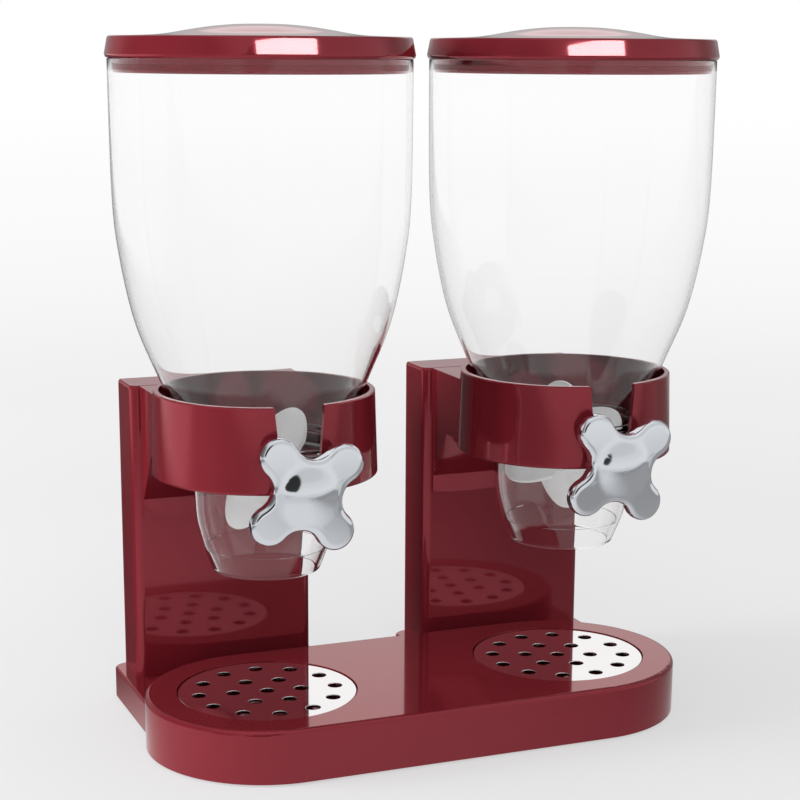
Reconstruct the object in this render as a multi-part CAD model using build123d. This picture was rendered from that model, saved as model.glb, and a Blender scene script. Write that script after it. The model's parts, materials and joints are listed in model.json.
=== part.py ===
"""Double cereal dispenser: two clear hoppers side by side on one stand.

Each hopper unit hangs in an open collar on its own column. Its paddle wheel is turned by a
lobed knob on the front, and a round perforated tray lies under each spout.

Millimetres. +Z is up, -Y is the front where the knobs are, X runs from left to right.
The pieces are drawn with Y = 0 on the line of the two hopper axes, and a hopper unit with its
axis at X = 0. save() puts each unit at its own axis and the origin under the middle of the
whole dispenser's box, on the floor.
"""

import os
from math import cos, hypot, pi, radians, sin, sqrt

from build123d import *

os.makedirs("parts", exist_ok=True)

# Driving sizes
AXIS_X = 99.0              # hopper axis from the middle of the stand

# fits
FIT_GAP = 0.3              # between mouldings of one assembly
SLIDE_GAP = 0.5            # round pieces that lift out by hand
RUN_GAP = 0.05             # radial clearance of the shaft in its bushes
SEAT_GAP = 0.1             # under a flange that rests on a ledge
HEAD_GAP = 0.05            # under a flat screw head

# base
FOOT_LIFT = 1.5            # the base stands this high on its rubber feet
BASE_TOP = 34.0            # deck height
BASE_END_R = 74.5          # radius of the round ends
BASE_WALL = 3.0
DECK_EDGE_R = 3.0
BLOCK_TOP = 21.0           # the lower blocks behind the deck that carry the columns
BLOCK_HALF_W = 67.0
BLOCK_BACK = 122.0
BLOCK_CORNER_R = 9.0
BLOCK_EDGE_R = 1.5
PLATE_T = 2.5              # bottom plate
PLATE_SCREW_SIDE = 17.0    # from a rear block's sides to its plate screws
PLATE_SCREW_BACK = 14.0    # from its back
PLATE_SCREW_IN = 1.5       # from the deck's wall to a screw's boss
FOOT_R = 8.0
FOOT_SUNK = 1.0            # how deep a foot sits in its pocket
FOOT_EDGE_R = 0.6
FOOT_OUT = 33.0            # outer front feet, from the hopper axis
FOOT_OUT_Y = -50.0
FOOT_IN = 70.0             # inner front feet
FOOT_IN_Y = -58.0
FOOT_BACK = 13.0           # rear feet, from a rear block's back

# trays
TRAY_R = 54.8
TRAY_T = 1.6
TRAY_LIP = 3.0             # turned-down rim, from the tray's top face
TRAY_SINK = 0.6            # the tray lies this much below the deck
TRAY_HOLE_R = 4.3
TRAY_HOLE_EDGE = 0.4       # soft upper edge of a hole
TRAY_RING_STEP = 21.1      # from one ring of holes to the next
TRAY_RINGS = 3             # one hole in the middle, then 6 and 12
TRAY_TURN = {"left": -8.0, "right": -22.0}       # how each tray happens to lie
WELL_DEPTH = 9.0           # crumb well, from the tray's seat down
WELL_LEDGE = 3.5           # width of the seat round the well

# columns
COLUMN_W = 118.0
COLUMN_FRONT = 87.0
COLUMN_DEPTH = 33.0
COLUMN_TOP = 211.0
COLUMN_WALL = 3.0
COLUMN_FRONT_R = 6.0
COLUMN_BACK_R = 2.0
COLUMN_TOP_R = 2.0
COVER_T = 2.5              # rear cover
COVER_BOSS_GAP = 2.0       # from a cover screw's boss to the column's side
COVER_SCREW_LOW = 28.0     # lower cover screws, over the column's foot
COVER_SCREW_HIGH = 16.0    # upper ones, under its top
SPIGOT_R = 6.0             # locating spigots under a column's foot
SPIGOT_X = 35.0

# collars
COLLAR_DROP = 40.0         # from the column's top to the collar's lower edge
COLLAR_H = 50.0
COLLAR_BOTTOM = COLUMN_TOP - COLLAR_DROP
COLLAR_TOP = COLLAR_BOTTOM + COLLAR_H
COLLAR_R_BOTTOM = 67.0
COLLAR_DRAFT = 1.6         # the mould's draft over the collar's height
COLLAR_R_TOP = COLLAR_R_BOTTOM - COLLAR_DRAFT
COLLAR_WALL = 3.2
COLLAR_FLOOR = 3.0         # ledge that carries the hopper unit
SLOT_TOP_HALF = 15.0       # front slot that lets the shaft down
SLOT_BOTTOM_HALF = 11.0
SLOT_CORNER_R = 8.0
ARM_HALF_W = 53.0          # arm from the collar back to the column
ARM_REACH = 27.0           # how far it runs in under the collar, for the bore to trim
ARM_PAD_T = 3.0            # its pad on the column's face
ARM_PAD_DROP = 32.0        # from the collar's lower edge to where the arm slopes out
ARM_PAD_H = 12.0
ARM_PAD_TOP = COLLAR_BOTTOM - ARM_PAD_DROP
ARM_WALL = 3.0
ARM_SCREW_SIDE = 14.0      # from an arm's side to its screws
ARM_SCREW_LOW = 26.0       # lower arm screws, over the pad
ARM_SCREW_HIGH = 20.0      # upper ones, under the column's top

# dispensing housings
SHAFT_RISE = 2.0           # paddle shaft over the collar's lower edge
SHAFT_Z = COLLAR_BOTTOM + SHAFT_RISE
HOUSING_IN = 23.4          # from the collar's outside to the bell's
HOUSING_R = COLLAR_R_BOTTOM - HOUSING_IN
HOUSING_WALL = 2.2
SHOULDER_DROP = 46.8       # from the shaft down to where the bell meets the spout
SHOULDER_IN = 5.6          # how much the bell draws in down to there
HOUSING_SHARES = ((0.92, 0.67), (0.75, 0.35), (0.40, 0.16))   # of both, from there up
SPOUT_H = 14.2
SPOUT_IN = 5.7             # how much the spout draws in
LIP_T = 3.1                # the spout's wall is thicker than the bell's
LIP_EDGE_R = 1.0
FLANGE_GAP = 0.7           # flange to the collar's wall
FLANGE_T = 3.0
LEDGE_GAP = 1.9            # bell to the hole in the collar's ledge
SOCKET_WALL = 3.2
BUSH_BOSS_R = 8.0
BUSH_BOSS_PROUD = 8.4      # front face of the bush boss, before the bell
REAR_BOSS_R = 6.4
REAR_BOSS_SKIN = 1.6       # left of the housing's wall behind the rear bush
FRONT_BOSS_END = HOUSING_R + BUSH_BOSS_PROUD
SHOULDER_R = HOUSING_R - SHOULDER_IN
SHOULDER_Z = SHAFT_Z - SHOULDER_DROP
SPOUT_R = SHOULDER_R - SPOUT_IN
SPOUT_BOTTOM = SHOULDER_Z - SPOUT_H
FLANGE_R = COLLAR_R_TOP - COLLAR_WALL - FLANGE_GAP
COLLAR_FLOOR_R = HOUSING_R + LEDGE_GAP

# hoppers
HOPPER_H = 190.0           # from the collar's upper edge to the rim
HOPPER_TOP = COLLAR_TOP + HOPPER_H
HOPPER_FLARE = 19.8        # rim's radius over the collar's
HOPPER_RIM_R = COLLAR_R_BOTTOM + HOPPER_FLARE
HOPPER_WALL = 2.2
NECK_OVER = 2.4            # neck's radius over the housing's
NECK_RISE = 8.2            # neck's lower edge over the shaft
NECK_H = 8.8
SOCKET_OVER = 1.5          # socket's upper edge over the neck's straight stretch
NECK_R = HOUSING_R + NECK_OVER
NECK_BOTTOM = SHAFT_Z + NECK_RISE
NECK_TOP = NECK_BOTTOM + NECK_H
SOCKET_TOP = NECK_TOP + SOCKET_OVER
HOPPER_SHARES = ((0.983, 0.656), (0.904, 0.498), (0.711, 0.326), (0.407, 0.181), (0.123, 0.054))
GASKET_T = 1.5

# rotors
SHAFT_R = 3.5
SHAFT_FLAT = 2.5           # axis to flat, on the knob's end
BUSH_WALL = 1.5
BUSH_FLANGE_R = 7.6
BUSH_FLANGE_T = 1.8
HUB_R = 7.5
HUB_END_GAP = 12.6         # hub's end to the outside of the bell
HUB_HALF = HOUSING_R - HUB_END_GAP
REAR_BOSS_START = HUB_HALF + 2.5
BLADES = 6
BLADE_GAP = 0.9            # every blade stays in a ball this much smaller than the bell
BLADE_REACH = HOUSING_R - HOUSING_WALL - BLADE_GAP
BLADE_ROOT_T = 2.6
BLADE_TIP_T = 1.3
BLADE_ANGLE = {"left": 58.0, "right": 30.0}      # first blade, below the horizontal at -X
BUSH_PROUD = 1.0           # front bush's inner end, inside the housing's wall
CLIP_T = 0.8
CLIP_GAP = 0.1             # each side of the clip in its groove
CLIP_OFF = 0.4             # groove behind the front bush
CLIP_R = 5.6
GROOVE_DEPTH = 0.6

# knobs
KNOB_AWAY = 19.0           # back of the lobes, in front of the bush boss
KNOB_BOSS_AWAY = 5.0       # inner end of the knob's boss, in front of the bush boss
KNOB_BACK = FRONT_BOSS_END + KNOB_AWAY
KNOB_BOSS_END = FRONT_BOSS_END + KNOB_BOSS_AWAY
KNOB_T = 9.0
KNOB_LOBE_AT = 27.5        # centre of a lobe's round tip
KNOB_LOBE_R = 11.3
KNOB_VALLEY_R = 20.5       # nearest outline to the axis, between two lobes
KNOB_TURN = -8.5           # turn of the lobes from the diagonals
KNOB_EDGE_R = 3.6
KNOB_BACK_EDGE_R = 1.2
KNOB_WALL = 2.6
KNOB_DOME_H = 5.5
KNOB_BOSS_R = 8.0
KNOB_DOME_R = KNOB_VALLEY_R - KNOB_EDGE_R - 0.1

# lids
LID_RIM_OVER = 1.4         # lid's rim over the hopper's
LID_SEAT_GAP = 0.1
LID_RIM_EDGE = 1.6         # from the lid's lower edge to its widest line
LID_SHOULDER_IN = 2.0
LID_RIM_H = 9.9            # from the widest line to the shoulder
LID_SLOPE_H = 2.6          # from the shoulder to the foot of the dome
LID_DOME_SHARE = 0.66      # dome's radius to the shoulder's
LID_DOME_H = 4.8
LID_WALL = 2.2
LID_SKIRT_DEPTH = 8.1      # skirt under the hopper's rim
LID_SKIRT_GAP = 0.8        # skirt to the hopper's wall
SEAL_RISE = 1.7            # seal over the skirt's lower edge
SEAL_H = 3.0
SEAL_DEPTH = 1.2
LID_RIM_R = HOPPER_RIM_R + LID_RIM_OVER
LID_RIM_BOTTOM = HOPPER_TOP + LID_SEAT_GAP
LID_RIM_STEP = LID_RIM_BOTTOM + LID_RIM_EDGE
LID_SHOULDER_R = LID_RIM_R - LID_SHOULDER_IN
LID_SHOULDER_Z = LID_RIM_STEP + LID_RIM_H
LID_DOME_R = LID_SHOULDER_R * LID_DOME_SHARE
LID_DOME_FOOT = LID_SHOULDER_Z + LID_SLOPE_H
LID_TOP = LID_DOME_FOOT + LID_DOME_H
LID_SKIRT_BOTTOM = HOPPER_TOP - LID_SKIRT_DEPTH
SEAL_BOTTOM = LID_SKIRT_BOTTOM + SEAL_RISE

# screws
SCREW_R = 1.35
PILOT_GAP = 0.05           # round a thread-forming screw in its boss
SCREW_HEAD_R = 2.9
SCREW_L = 11.0
SCREW_PASS_GAP = 0.35      # round a screw in the piece that it clamps
BOSS_R = 4.5
HEAVY_SCREW_R = 1.65
HEAVY_HEAD_R = 8.4
HEAVY_HEAD_T = 2.6
HEAVY_SCREW_L = 15.0

FLOOR_Z = FOOT_LIFT        # underside of the base
PLATE_TOP = FLOOR_Z + PLATE_T
BUSH_INNER = HOUSING_R - HOUSING_WALL - BUSH_PROUD
BOX_MIDDLE_Y = (BLOCK_BACK - LID_RIM_R) / 2
UP = (Align.CENTER, Align.CENTER, Align.MIN)
SIDES = (("left", -AXIS_X), ("right", AXIS_X))


# Helpers
def rod(r, z0, z1, x=0.0, y=0.0):
    """Upright cylinder from z0 to z1."""
    return Pos(x, y, z0) * Cylinder(r, z1 - z0, align=UP)


def rod_y(r, y0, y1, x=0.0, z=0.0):
    """Cylinder along Y from y0 to y1."""
    return Pos(x, y0, z) * Rot(-90, 0, 0) * Cylinder(r, y1 - y0, align=UP)


def block(x0, x1, y0, y1, z0, z1):
    """Box between two corners."""
    return Pos((x0 + x1) / 2, (y0 + y1) / 2, (z0 + z1) / 2) * Box(x1 - x0, y1 - y0, z1 - z0)


def turned(*edges):
    """Solid of revolution about Z from a closed outline in X and Z."""
    return revolve(make_face([Plane.XZ * e for e in edges]), axis=Axis.Z)


def edges_at(solid, z, tol=0.01):
    """Edges that lie wholly at height z."""
    found = []
    for edge in solid.edges():
        box = edge.bounding_box()
        if abs(box.min.Z - z) < tol and abs(box.max.Z - z) < tol:
            found.append(edge)
    return found


def screw(length, r=SCREW_R, head_r=SCREW_HEAD_R):
    """Countersunk thread-forming screw along +Z, its head's flat face at z = 0."""
    head_t = head_r - r
    head = Pos(0, 0, head_t / 2) * Cone(head_r, r, head_t)
    shank = rod(r, head_t / 2, length - r)
    tip = Pos(0, 0, length - r / 2) * Cone(r, r * 0.3, r)
    recess = block(-head_r * 0.6, head_r * 0.6, -0.35, 0.35, 0, head_t * 0.5)
    recess += block(-0.35, 0.35, -head_r * 0.6, head_r * 0.6, 0, head_t * 0.5)
    return head + shank + tip - recess


def countersink(r=SCREW_R, head_r=SCREW_HEAD_R, depth=10.0):
    """Hole for screw(): its taper, then a plain hole with clearance."""
    hole_r = r + SCREW_PASS_GAP
    head_t = head_r - r
    wide = head_r + PILOT_GAP + 0.05
    return Pos(0, 0, head_t / 2) * Cone(wide, wide - head_t, head_t) + rod(hole_r, 0, depth)


def group(pieces):
    """Several loose solids of one node."""
    return Compound([p.solid() for p in pieces])


def save(name, shape, x=0.0):
    """Write one node's STEP file, moved to its hopper axis and to the part's origin."""
    export_step(Pos(x, -BOX_MIDDLE_Y, 0) * shape, f"parts/{name}.step")


# Base
def deck_plan(inset):
    return SlotCenterToCenter(2 * AXIS_X, 2 * (BASE_END_R - inset))


def block_plan(x, inset):
    """Rear block's plan, run forward into the deck."""
    back = BLOCK_BACK - inset
    return Pos(x, back / 2) * RectangleRounded(2 * (BLOCK_HALF_W - inset), back, BLOCK_CORNER_R - inset)


def plate_screw_places():
    """Screws of the bottom plate: round each deck end, in the blocks and on the middle line."""
    ring = BASE_END_R - BASE_WALL - BOSS_R - PLATE_SCREW_IN
    out = [(0.0, ring), (0.0, -ring)]
    for _, x in SIDES:
        for a in (225, 315):
            out.append((x + ring * cos(radians(a)), ring * sin(radians(a))))
        for dx in (-1, 1):
            out.append((x + dx * (BLOCK_HALF_W - PLATE_SCREW_SIDE), BLOCK_BACK - PLATE_SCREW_BACK))
    return out


def boss_top(x, y):
    """Height of the roof over a plate screw, under the deck or under a rear block."""
    under_deck = hypot(max(abs(x) - AXIS_X, 0), y) < BASE_END_R
    return (BASE_TOP if under_deck else BLOCK_TOP) - BASE_WALL + 0.5


def foot_places():
    out = []
    for _, x in SIDES:
        side = 1 if x > 0 else -1
        out.append((x + side * FOOT_OUT, FOOT_OUT_Y))
        out.append((x - side * FOOT_IN, FOOT_IN_Y))
        out.append((x, BLOCK_BACK - FOOT_BACK))
    return out


def base_shell():
    """Round-ended deck with two lower blocks behind it, open underneath."""
    deck = Pos(0, 0, FLOOR_Z) * extrude(deck_plan(0), BASE_TOP - FLOOR_Z)
    deck = fillet(edges_at(deck, BASE_TOP), DECK_EDGE_R)
    hollow = Pos(0, 0, FLOOR_Z) * extrude(deck_plan(BASE_WALL), BASE_TOP - BASE_WALL - FLOOR_Z)
    shell = deck
    for _, x in SIDES:
        foot = Pos(0, 0, FLOOR_Z) * extrude(block_plan(x, 0), BLOCK_TOP - FLOOR_Z)
        shell += fillet(edges_at(foot, BLOCK_TOP), BLOCK_EDGE_R)
        hollow += Pos(0, 0, FLOOR_Z) * extrude(block_plan(x, BASE_WALL), BLOCK_TOP - BASE_WALL - FLOOR_Z)
    shell -= hollow
    seat_z = BASE_TOP - TRAY_SINK - TRAY_LIP
    well_z = seat_z - WELL_DEPTH
    well_r = TRAY_R + FIT_GAP - WELL_LEDGE
    for _, x in SIDES:
        shell += rod(TRAY_R + FIT_GAP + BASE_WALL, well_z - BASE_WALL, BASE_TOP - DECK_EDGE_R, x)
        shell -= rod(TRAY_R + SLIDE_GAP, seat_z, BASE_TOP + 1, x)
        shell -= rod(well_r, well_z, seat_z + 1, x)
        for dx in (-SPIGOT_X, SPIGOT_X):
            shell -= rod(SPIGOT_R + FIT_GAP, BLOCK_TOP - BASE_WALL - 1, BLOCK_TOP + 1, x + dx, spigot_y())
    for x, y in plate_screw_places():
        shell += rod(BOSS_R, PLATE_TOP, boss_top(x, y), x, y)
        shell -= rod(SCREW_R + PILOT_GAP, PLATE_TOP - 1, PLATE_TOP + SCREW_L, x, y)
    return shell


def base_plate():
    """Flat plate that closes the base and carries the feet."""
    plan = deck_plan(BASE_WALL + FIT_GAP)
    for _, x in SIDES:
        plan += block_plan(x, BASE_WALL + FIT_GAP)
    plate = Pos(0, 0, FLOOR_Z) * extrude(plan, PLATE_T)
    for x, y in plate_screw_places():
        plate -= Pos(x, y, FLOOR_Z) * countersink()
    for x, y in foot_places():
        plate -= rod(FOOT_R + PILOT_GAP, FLOOR_Z - 1, FLOOR_Z + FOOT_SUNK, x, y)
    return plate


def base_feet():
    pads = []
    for x, y in foot_places():
        pad = rod(FOOT_R, 0, FLOOR_Z + FOOT_SUNK, x, y)
        pads.append(fillet(edges_at(pad, 0), FOOT_EDGE_R))
    return group(pads)


def base_plate_screws():
    return group([Pos(x, y, FLOOR_Z) * screw(SCREW_L) for x, y in plate_screw_places()])


# Trays
def tray(turn):
    """Perforated disc with a turned-down rim, its holes in rings."""
    top = BASE_TOP - TRAY_SINK
    disc = rod(TRAY_R, top - TRAY_LIP, top)
    disc = fillet(edges_at(disc, top), 0.8)
    disc -= rod(TRAY_R - TRAY_T, top - TRAY_LIP - 1, top - TRAY_T)
    for ring in range(TRAY_RINGS):
        ring_r = ring * TRAY_RING_STEP
        count = max(1, 6 * ring)
        for i in range(count):
            a = radians(turn + 360 * i / count)
            disc -= rod(TRAY_HOLE_R, top - TRAY_LIP, top + 1, ring_r * cos(a), ring_r * sin(a))
    holes = [e for e in edges_at(disc, top) if e.length < 4 * pi * TRAY_HOLE_R]
    return fillet(holes, TRAY_HOLE_EDGE)


# Columns
def spigot_y():
    return COLUMN_FRONT + COLUMN_DEPTH / 2


def cover_screw_places():
    """X and Z of the rear cover's screws."""
    x = COLUMN_W / 2 - COLUMN_WALL - BOSS_R - COVER_BOSS_GAP
    heights = (BLOCK_TOP + COVER_SCREW_LOW, COLUMN_TOP - COVER_SCREW_HIGH)
    return [(sx * x, z) for sx in (-1, 1) for z in heights]


def collar_screw_places():
    """X and Z of the screws through the column's face into the arm."""
    x = ARM_HALF_W - ARM_SCREW_SIDE
    heights = (ARM_PAD_TOP + ARM_SCREW_LOW, COLUMN_TOP - ARM_SCREW_HIGH)
    return [(sx * x, z) for sx in (-1, 1) for z in heights]


def column_shell():
    """Hollow upright, open at the back, with bosses for its cover and foot screws."""
    half = COLUMN_W / 2
    back = COLUMN_FRONT + COLUMN_DEPTH
    body = block(-half, half, COLUMN_FRONT, back, BLOCK_TOP, COLUMN_TOP)
    upright = body.edges().filter_by(Axis.Z).sort_by(Axis.Y)
    body = fillet(upright[:2], COLUMN_FRONT_R)
    upright = [e for e in body.edges().filter_by(Axis.Z) if e.center().Y > back - 0.1]
    body = fillet(upright, COLUMN_BACK_R)
    body = fillet(edges_at(body, COLUMN_TOP), COLUMN_TOP_R)
    inner = block(-half + COLUMN_WALL, half - COLUMN_WALL, COLUMN_FRONT + COLUMN_WALL, back + 1,
                  BLOCK_TOP + COLUMN_WALL, COLUMN_TOP - COLUMN_WALL)
    upright = inner.edges().filter_by(Axis.Z).sort_by(Axis.Y)
    body -= fillet(upright[:2], COLUMN_FRONT_R - COLUMN_WALL)
    cover_front = back - COVER_T
    for x, z in cover_screw_places():
        body += rod_y(BOSS_R, COLUMN_FRONT + COLUMN_WALL - 0.5, cover_front, x, z)
        body -= rod_y(SCREW_R + PILOT_GAP, cover_front - SCREW_L, cover_front + 1, x, z)
    for x, z in collar_screw_places():
        body -= rod_y(SCREW_R + SCREW_PASS_GAP, COLUMN_FRONT - 1, COLUMN_FRONT + COLUMN_WALL + 1, x, z)
    foot = BLOCK_TOP - BASE_WALL
    for x in (-SPIGOT_X, SPIGOT_X):
        body += rod(SPIGOT_R, foot, BLOCK_TOP + COLUMN_WALL + HEAVY_SCREW_L, x, spigot_y())
        body -= rod(HEAVY_SCREW_R + PILOT_GAP, foot - 1, foot + HEAVY_SCREW_L, x, spigot_y())
    return body


def column_cover():
    """Plate let into the back of the column."""
    half = COLUMN_W / 2 - COLUMN_WALL - FIT_GAP
    back = COLUMN_FRONT + COLUMN_DEPTH
    cover = block(-half, half, back - COVER_T, back,
                  BLOCK_TOP + COLUMN_WALL + FIT_GAP, COLUMN_TOP - COLUMN_WALL - FIT_GAP)
    for x, z in cover_screw_places():
        cover -= Pos(x, back, z) * Rot(90, 0, 0) * countersink()
    return cover


def column_cover_screws():
    back = COLUMN_FRONT + COLUMN_DEPTH
    return group([Pos(x, back, z) * Rot(90, 0, 0) * screw(SCREW_L) for x, z in cover_screw_places()])


def column_foot_screws():
    """Wide-headed screws up through the rear block into the column's foot."""
    z = BLOCK_TOP - BASE_WALL
    out = []
    for x in (-SPIGOT_X, SPIGOT_X):
        head = rod(HEAVY_HEAD_R, z - HEAVY_HEAD_T, z - HEAD_GAP)
        head = fillet(edges_at(head, z - HEAVY_HEAD_T), 0.8)
        shank = rod(HEAVY_SCREW_R, z - 0.5, z + HEAVY_SCREW_L - 2)
        slot = block(-4, 4, -0.5, 0.5, z - HEAVY_HEAD_T - 1, z - HEAVY_HEAD_T + 1)
        out.append(Pos(x, spigot_y(), 0) * (head + shank - slot))
    return group(out)


# Collars
def collar_r(z, inside=False):
    """Collar's radius at height z; its wall has the mould's draft."""
    t = (z - COLLAR_BOTTOM) / (COLLAR_TOP - COLLAR_BOTTOM)
    return COLLAR_R_BOTTOM + (COLLAR_R_TOP - COLLAR_R_BOTTOM) * t - (COLLAR_WALL if inside else 0)


def arm():
    """Hollow arm from the column's face to the collar, sloping in under it."""
    pad = COLUMN_FRONT - ARM_PAD_T
    pad_bottom = ARM_PAD_TOP - ARM_PAD_H
    reach = COLLAR_R_BOTTOM - ARM_REACH
    bottom = COLLAR_BOTTOM
    side = Polyline((COLUMN_FRONT, pad_bottom), (pad, pad_bottom), (pad, ARM_PAD_TOP),
                    (COLLAR_R_BOTTOM - 4, bottom), (reach, bottom), (reach, COLUMN_TOP),
                    (COLUMN_FRONT, COLUMN_TOP), close=True)
    body = extrude(Plane.YZ * make_face(side), ARM_HALF_W, both=True)
    w = ARM_WALL
    slope_foot = (COLUMN_FRONT, ARM_PAD_TOP + 4)
    pocket = Polyline(slope_foot, (COLLAR_R_BOTTOM + 1, bottom + w), (COLLAR_R_BOTTOM + 1, COLUMN_TOP - w),
                      (COLUMN_FRONT, COLUMN_TOP - w), close=True)
    hollow = extrude(Plane.YZ * make_face(pocket), ARM_HALF_W - w, both=True)
    for x, z in collar_screw_places():
        hollow -= rod_y(BOSS_R, COLLAR_R_BOTTOM, COLUMN_FRONT, x, z)
    body -= hollow
    return body


def slot_cut():
    """Front slot of the collar: narrower downwards, its lower corners rounded outwards."""
    r = SLOT_CORNER_R
    half = SLOT_BOTTOM_HALF
    z = COLLAR_BOTTOM
    off = r * (1 - cos(pi / 4))
    right = [Line((half + r, z - 1), (half + r, z)),
             ThreePointArc((half + r, z), (half + off, z + off), (half, z + r)),
             Line((half, z + r), (SLOT_TOP_HALF, COLLAR_TOP + 1))]
    left = [mirror(e, Plane.YZ) for e in right]
    outline = right + [Line((SLOT_TOP_HALF, COLLAR_TOP + 1), (-SLOT_TOP_HALF, COLLAR_TOP + 1))] + left
    outline += [Line((-half - r, z - 1), (half + r, z - 1))]
    face = make_face(outline)
    inner = COLLAR_FLOOR_R / 2
    return Pos(0, -inner, 0) * extrude(Plane.XZ * face, COLLAR_R_BOTTOM + 1 - inner)


def collar():
    """Open ring with an inner ledge, a front slot and the arm behind it."""
    ro0, ro1 = collar_r(COLLAR_BOTTOM), collar_r(COLLAR_TOP)
    ri0, ri1 = collar_r(COLLAR_BOTTOM, True), collar_r(COLLAR_TOP, True)
    bore = turned(Polyline((0, COLLAR_BOTTOM - 1), (ri0, COLLAR_BOTTOM - 1), (ri0, COLLAR_BOTTOM),
                           (ri1, COLLAR_TOP), (ri1, COLLAR_TOP + 1), (0, COLLAR_TOP + 1), close=True))
    ring = turned(Polyline((0, COLLAR_BOTTOM), (ro0, COLLAR_BOTTOM), (ro1, COLLAR_TOP),
                           (0, COLLAR_TOP), close=True))
    ring = fillet(edges_at(ring, COLLAR_BOTTOM), 1.4)
    ring = fillet(edges_at(ring, COLLAR_TOP), 0.9)
    body = ring + arm() - bore
    ledge = rod(ri0 + 0.5, COLLAR_BOTTOM, COLLAR_BOTTOM + COLLAR_FLOOR)
    body += ledge - rod(COLLAR_FLOOR_R, COLLAR_BOTTOM - 1, COLLAR_TOP)
    body -= slot_cut()
    for x, z in collar_screw_places():
        body -= rod_y(SCREW_R + PILOT_GAP, COLUMN_FRONT + COLUMN_WALL - SCREW_L, COLUMN_FRONT + 1, x, z)
    return body


def collar_screws():
    """Pan-headed screws, driven from inside the column."""
    y = COLUMN_FRONT + COLUMN_WALL
    out = []
    for x, z in collar_screw_places():
        head = rod_y(SCREW_HEAD_R, y + HEAD_GAP, y + 2, x, z)
        shank = rod_y(SCREW_R, y - SCREW_L + 1, y + 0.5, x, z)
        slot = block(x - 2, x + 2, y + 1.2, y + 3, z - 0.4, z + 0.4)
        out.append(head + shank - slot)
    return group(out)


# Hoppers
def between(low, high, share):
    """The size a share of the way from low to high."""
    return low + (high - low) * share


def hopper_line(shift):
    """Hopper's side from rim to neck, moved in by shift."""
    pts = [(between(NECK_R, HOPPER_RIM_R, out) - shift, between(NECK_TOP, HOPPER_TOP, up))
           for out, up in HOPPER_SHARES]
    curve = Spline(*pts, (NECK_R - shift, NECK_TOP), tangents=[(-0.02, -1), (0, -1)])
    neck = Line((NECK_R - shift, NECK_TOP), (NECK_R - shift, NECK_BOTTOM))
    return [Line((HOPPER_RIM_R - shift, HOPPER_TOP), pts[0]), curve, neck]


def hopper():
    """Clear tub, nearly straight at the top, drawn in to a round neck."""
    w = HOPPER_WALL
    outer = hopper_line(0)
    inner = hopper_line(w)
    rim = Line((HOPPER_RIM_R - w, HOPPER_TOP), (HOPPER_RIM_R, HOPPER_TOP))
    neck = Line((NECK_R, NECK_BOTTOM), (NECK_R - w, NECK_BOTTOM))
    return turned(*outer, neck, *inner, rim)


def neck_gasket():
    """Flat ring between the hopper's neck and the housing."""
    z = NECK_BOTTOM
    return rod(NECK_R, z - GASKET_T, z) - rod(NECK_R - HOPPER_WALL, z - 5, z + 5)


# Dispensing housings
def housing_wall(shift):
    """Bell of the housing from its flange to the spout's lip, moved in by shift."""
    flange_z = COLLAR_BOTTOM + COLLAR_FLOOR + SEAT_GAP
    pts = [(HOUSING_R - shift, flange_z)]
    pts += [(between(SHOULDER_R, HOUSING_R, out) - shift, between(SHOULDER_Z, flange_z, up))
            for out, up in HOUSING_SHARES]
    pts += [(SHOULDER_R - shift, SHOULDER_Z)]
    bell = Spline(*pts, tangents=[(0, -1), (-SPOUT_IN, -SPOUT_H)])
    return bell, pts


def housing():
    """Clear chamber for the paddle wheel, with a socket above and an open spout below."""
    flange_z = COLLAR_BOTTOM + COLLAR_FLOOR + SEAT_GAP
    bell, pts = housing_wall(0)
    socket_r = NECK_R + FIT_GAP
    outer = [Line((FLANGE_R, flange_z), pts[0]), bell,
             Polyline(pts[-1], (SPOUT_R, SPOUT_BOTTOM), (0, SPOUT_BOTTOM)),
             Polyline((0, SPOUT_BOTTOM), (0, SOCKET_TOP), (socket_r + SOCKET_WALL, SOCKET_TOP),
                      (socket_r + SOCKET_WALL, flange_z + FLANGE_T), (FLANGE_R, flange_z + FLANGE_T),
                      (FLANGE_R, flange_z))]
    body = turned(*outer)
    body += rod_y(BUSH_BOSS_R, -FRONT_BOSS_END, 0, 0, SHAFT_Z)
    seat = NECK_BOTTOM - GASKET_T
    bell_in, pts_in = housing_wall(HOUSING_WALL)
    hollow = turned(Line((pts_in[0][0], seat), pts_in[0]), bell_in,
                    Polyline(pts_in[-1], (SHOULDER_R - LIP_T, SHOULDER_Z), (SPOUT_R - LIP_T, SPOUT_BOTTOM),
                             (0, SPOUT_BOTTOM), (0, SOCKET_TOP + 1), (socket_r, SOCKET_TOP + 1),
                             (socket_r, seat), (pts_in[0][0], seat)))
    hollow -= rod_y(REAR_BOSS_R, REAR_BOSS_START, HOUSING_R, 0, SHAFT_Z)
    body -= hollow
    body = fillet(edges_at(body, SPOUT_BOTTOM), LIP_EDGE_R)
    notch = BUSH_FLANGE_R + SLIDE_GAP
    body -= block(-notch, notch, -FLANGE_R - 1, -FRONT_BOSS_END, SHAFT_Z - notch, SHAFT_Z + notch)
    bore = SHAFT_R + RUN_GAP + BUSH_WALL + PILOT_GAP
    body -= rod_y(bore, -FRONT_BOSS_END - 1, -BUSH_INNER + 2, 0, SHAFT_Z)
    body -= rod_y(bore, REAR_BOSS_START - 1, HOUSING_R - REAR_BOSS_SKIN, 0, SHAFT_Z)
    return body


def front_bush():
    """Flanged sleeve bush in the housing's front boss."""
    r = SHAFT_R + RUN_GAP
    sleeve = rod_y(r + BUSH_WALL, -FRONT_BOSS_END, -BUSH_INNER, 0, SHAFT_Z)
    sleeve += rod_y(BUSH_FLANGE_R, -FRONT_BOSS_END - BUSH_FLANGE_T, -FRONT_BOSS_END, 0, SHAFT_Z)
    return sleeve - rod_y(r, -KNOB_BACK, 0, 0, SHAFT_Z)


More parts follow.
